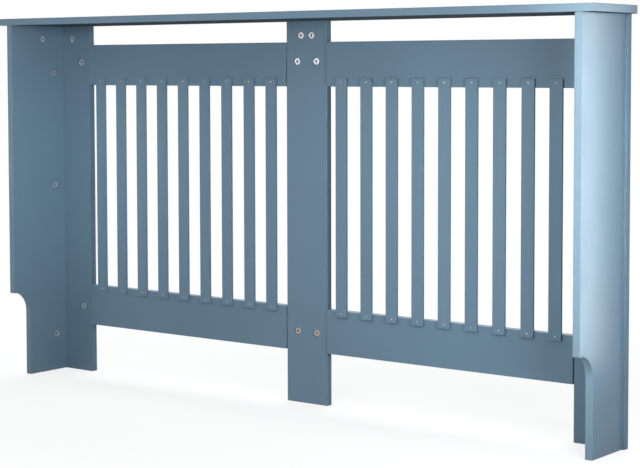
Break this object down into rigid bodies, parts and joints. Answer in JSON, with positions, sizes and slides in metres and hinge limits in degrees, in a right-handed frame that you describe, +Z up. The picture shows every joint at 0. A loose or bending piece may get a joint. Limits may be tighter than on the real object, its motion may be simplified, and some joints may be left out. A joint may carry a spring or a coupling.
{
  "type": "radiator cover cabinet",
  "caption": "Free-standing painted MDF radiator cover: a shelf on two side panels and a front of stiles, post, rails and slats, open at the back, held by turning cam fittings.",
  "frame": {"origin": "on the floor, under the middle of the shelf", "axes": "+Z up; the front with the slats faces -Y and the open back faces the wall at +Y; +X is to the right seen from the front"},
  "size_m": [1.52, 0.19, 0.815],
  "materials": {
    "painted_mdf": "MDF with a satin blue-grey paint",
    "cam_zinc": "die-cast zinc, bright",
    "cam_zinc_yellow": "die-cast zinc, yellow passivated",
    "steel_bolt": "zinc-plated steel"
  },
  "bodies": {
    "carcass": {"top_shelf": "painted_mdf", "centre_post": "painted_mdf", "side_panel_left": "painted_mdf", "corner_stile_left": "painted_mdf", "side_panel_right": "painted_mdf", "corner_stile_right": "painted_mdf", "top_rail_left": "painted_mdf", "bottom_rail_left": "painted_mdf", "top_rail_right": "painted_mdf", "bottom_rail_right": "painted_mdf", "slat_left_1": "painted_mdf", "slat_left_2": "painted_mdf", "slat_left_3": "painted_mdf", "slat_left_4": "painted_mdf", "slat_left_5": "painted_mdf", "slat_left_6": "painted_mdf", "slat_left_7": "painted_mdf", "slat_left_8": "painted_mdf", "slat_left_9": "painted_mdf", "slat_right_1": "painted_mdf", "slat_right_2": "painted_mdf", "slat_right_3": "painted_mdf", "slat_right_4": "painted_mdf", "slat_right_5": "painted_mdf", "slat_right_6": "painted_mdf", "slat_right_7": "painted_mdf", "slat_right_8": "painted_mdf", "slat_right_9": "painted_mdf", "bolt_panel_left_shelf": "steel_bolt", "bolt_panel_left_upper": "steel_bolt", "bolt_panel_left_middle": "steel_bolt", "bolt_panel_left_lower": "steel_bolt", "bolt_stile_left_shelf": "steel_bolt", "bolt_post_left_shelf": "steel_bolt", "bolt_panel_right_shelf": "steel_bolt", "bolt_panel_right_upper": "steel_bolt", "bolt_panel_right_middle": "steel_bolt", "bolt_panel_right_lower": "steel_bolt", "bolt_stile_right_shelf": "steel_bolt", "bolt_post_right_shelf": "steel_bolt"},
    "cam_panel_left_shelf": {"cam_panel_left_shelf": "cam_zinc"},
    "cam_panel_left_upper": {"cam_panel_left_upper": "cam_zinc"},
    "cam_panel_left_middle": {"cam_panel_left_middle": "cam_zinc"},
    "cam_panel_left_lower": {"cam_panel_left_lower": "cam_zinc"},
    "cam_stile_left_shelf": {"cam_stile_left_shelf": "cam_zinc"},
    "cam_post_left_shelf": {"cam_post_left_shelf": "cam_zinc"},
    "cam_stile_left_top_rail": {"cam_stile_left_top_rail": "cam_zinc"},
    "cam_post_left_top_rail": {"cam_post_left_top_rail": "cam_zinc"},
    "cam_stile_left_bottom_rail": {"cam_stile_left_bottom_rail": "cam_zinc_yellow"},
    "cam_post_left_bottom_rail": {"cam_post_left_bottom_rail": "cam_zinc_yellow"},
    "cam_panel_right_shelf": {"cam_panel_right_shelf": "cam_zinc"},
    "cam_panel_right_upper": {"cam_panel_right_upper": "cam_zinc"},
    "cam_panel_right_middle": {"cam_panel_right_middle": "cam_zinc"},
    "cam_panel_right_lower": {"cam_panel_right_lower": "cam_zinc"},
    "cam_stile_right_shelf": {"cam_stile_right_shelf": "cam_zinc"},
    "cam_post_right_shelf": {"cam_post_right_shelf": "cam_zinc"},
    "cam_stile_right_top_rail": {"cam_stile_right_top_rail": "cam_zinc"},
    "cam_post_right_top_rail": {"cam_post_right_top_rail": "cam_zinc"},
    "cam_stile_right_bottom_rail": {"cam_stile_right_bottom_rail": "cam_zinc"},
    "cam_post_right_bottom_rail": {"cam_post_right_bottom_rail": "cam_zinc_yellow"}
  },
  "joints": [
    {"name": "cam_turn_panel_left_shelf", "type": "hinge", "parent": "carcass", "child": "cam_panel_left_shelf", "pos_m": [-0.72, -0.002, 0.7705], "axis": [1, 0, 0], "range_deg": [0, 180]},
    {"name": "cam_turn_panel_left_upper", "type": "hinge", "parent": "carcass", "child": "cam_panel_left_upper", "pos_m": [-0.72, -0.037, 0.6925], "axis": [1, 0, 0], "range_deg": [0, 180]},
    {"name": "cam_turn_panel_left_middle", "type": "hinge", "parent": "carcass", "child": "cam_panel_left_middle", "pos_m": [-0.72, -0.037, 0.433], "axis": [1, 0, 0], "range_deg": [0, 180]},
    {"name": "cam_turn_panel_left_lower", "type": "hinge", "parent": "carcass", "child": "cam_panel_left_lower", "pos_m": [-0.72, -0.037, 0.0845], "axis": [1, 0, 0], "range_deg": [0, 180]},
    {"name": "cam_turn_stile_left_shelf", "type": "hinge", "parent": "carcass", "child": "cam_stile_left_shelf", "pos_m": [-0.6915, -0.065, 0.7705], "axis": [0, 1, 0], "range_deg": [0, 180]},
    {"name": "cam_turn_post_left_shelf", "type": "hinge", "parent": "carcass", "child": "cam_post_left_shelf", "pos_m": [-0.012, -0.065, 0.7705], "axis": [0, 1, 0], "range_deg": [0, 180]},
    {"name": "cam_turn_stile_left_top_rail", "type": "hinge", "parent": "carcass", "child": "cam_stile_left_top_rail", "pos_m": [-0.662, -0.065, 0.7165], "axis": [0, 1, 0], "range_deg": [0, 180]},
    {"name": "cam_turn_post_left_top_rail", "type": "hinge", "parent": "carcass", "child": "cam_post_left_top_rail", "pos_m": [-0.025, -0.065, 0.7165], "axis": [0, 1, 0], "range_deg": [0, 180]},
    {"name": "cam_turn_stile_left_bottom_rail", "type": "hinge", "parent": "carcass", "child": "cam_stile_left_bottom_rail", "pos_m": [-0.662, -0.065, 0.1505], "axis": [0, 1, 0], "range_deg": [0, 180]},
    {"name": "cam_turn_post_left_bottom_rail", "type": "hinge", "parent": "carcass", "child": "cam_post_left_bottom_rail", "pos_m": [-0.025, -0.065, 0.1505], "axis": [0, 1, 0], "range_deg": [0, 180]},
    {"name": "cam_turn_panel_right_shelf", "type": "hinge", "parent": "carcass", "child": "cam_panel_right_shelf", "pos_m": [0.72, -0.002, 0.7705], "axis": [-1, 0, 0], "range_deg": [0, 180]},
    {"name": "cam_turn_panel_right_upper", "type": "hinge", "parent": "carcass", "child": "cam_panel_right_upper", "pos_m": [0.72, -0.037, 0.6925], "axis": [-1, 0, 0], "range_deg": [0, 180]},
    {"name": "cam_turn_panel_right_middle", "type": "hinge", "parent": "carcass", "child": "cam_panel_right_middle", "pos_m": [0.72, -0.037, 0.433], "axis": [-1, 0, 0], "range_deg": [0, 180]},
    {"name": "cam_turn_panel_right_lower", "type": "hinge", "parent": "carcass", "child": "cam_panel_right_lower", "pos_m": [0.72, -0.037, 0.0845], "axis": [-1, 0, 0], "range_deg": [0, 180]},
    {"name": "cam_turn_stile_right_shelf", "type": "hinge", "parent": "carcass", "child": "cam_stile_right_shelf", "pos_m": [0.6915, -0.065, 0.7705], "axis": [0, 1, 0], "range_deg": [0, 180]},
    {"name": "cam_turn_post_right_shelf", "type": "hinge", "parent": "carcass", "child": "cam_post_right_shelf", "pos_m": [0.0155, -0.065, 0.7705], "axis": [0, 1, 0], "range_deg": [0, 180]},
    {"name": "cam_turn_stile_right_top_rail", "type": "hinge", "parent": "carcass", "child": "cam_stile_right_top_rail", "pos_m": [0.662, -0.065, 0.7165], "axis": [0, 1, 0], "range_deg": [0, 180]},
    {"name": "cam_turn_post_right_top_rail", "type": "hinge", "parent": "carcass", "child": "cam_post_right_top_rail", "pos_m": [0.025, -0.065, 0.7165], "axis": [0, 1, 0], "range_deg": [0, 180]},
    {"name": "cam_turn_stile_right_bottom_rail", "type": "hinge", "parent": "carcass", "child": "cam_stile_right_bottom_rail", "pos_m": [0.662, -0.065, 0.1505], "axis": [0, 1, 0], "range_deg": [0, 180]},
    {"name": "cam_turn_post_right_bottom_rail", "type": "hinge", "parent": "carcass", "child": "cam_post_right_bottom_rail", "pos_m": [0.025, -0.065, 0.1505], "axis": [0, 1, 0], "range_deg": [0, 180]}
  ]
}
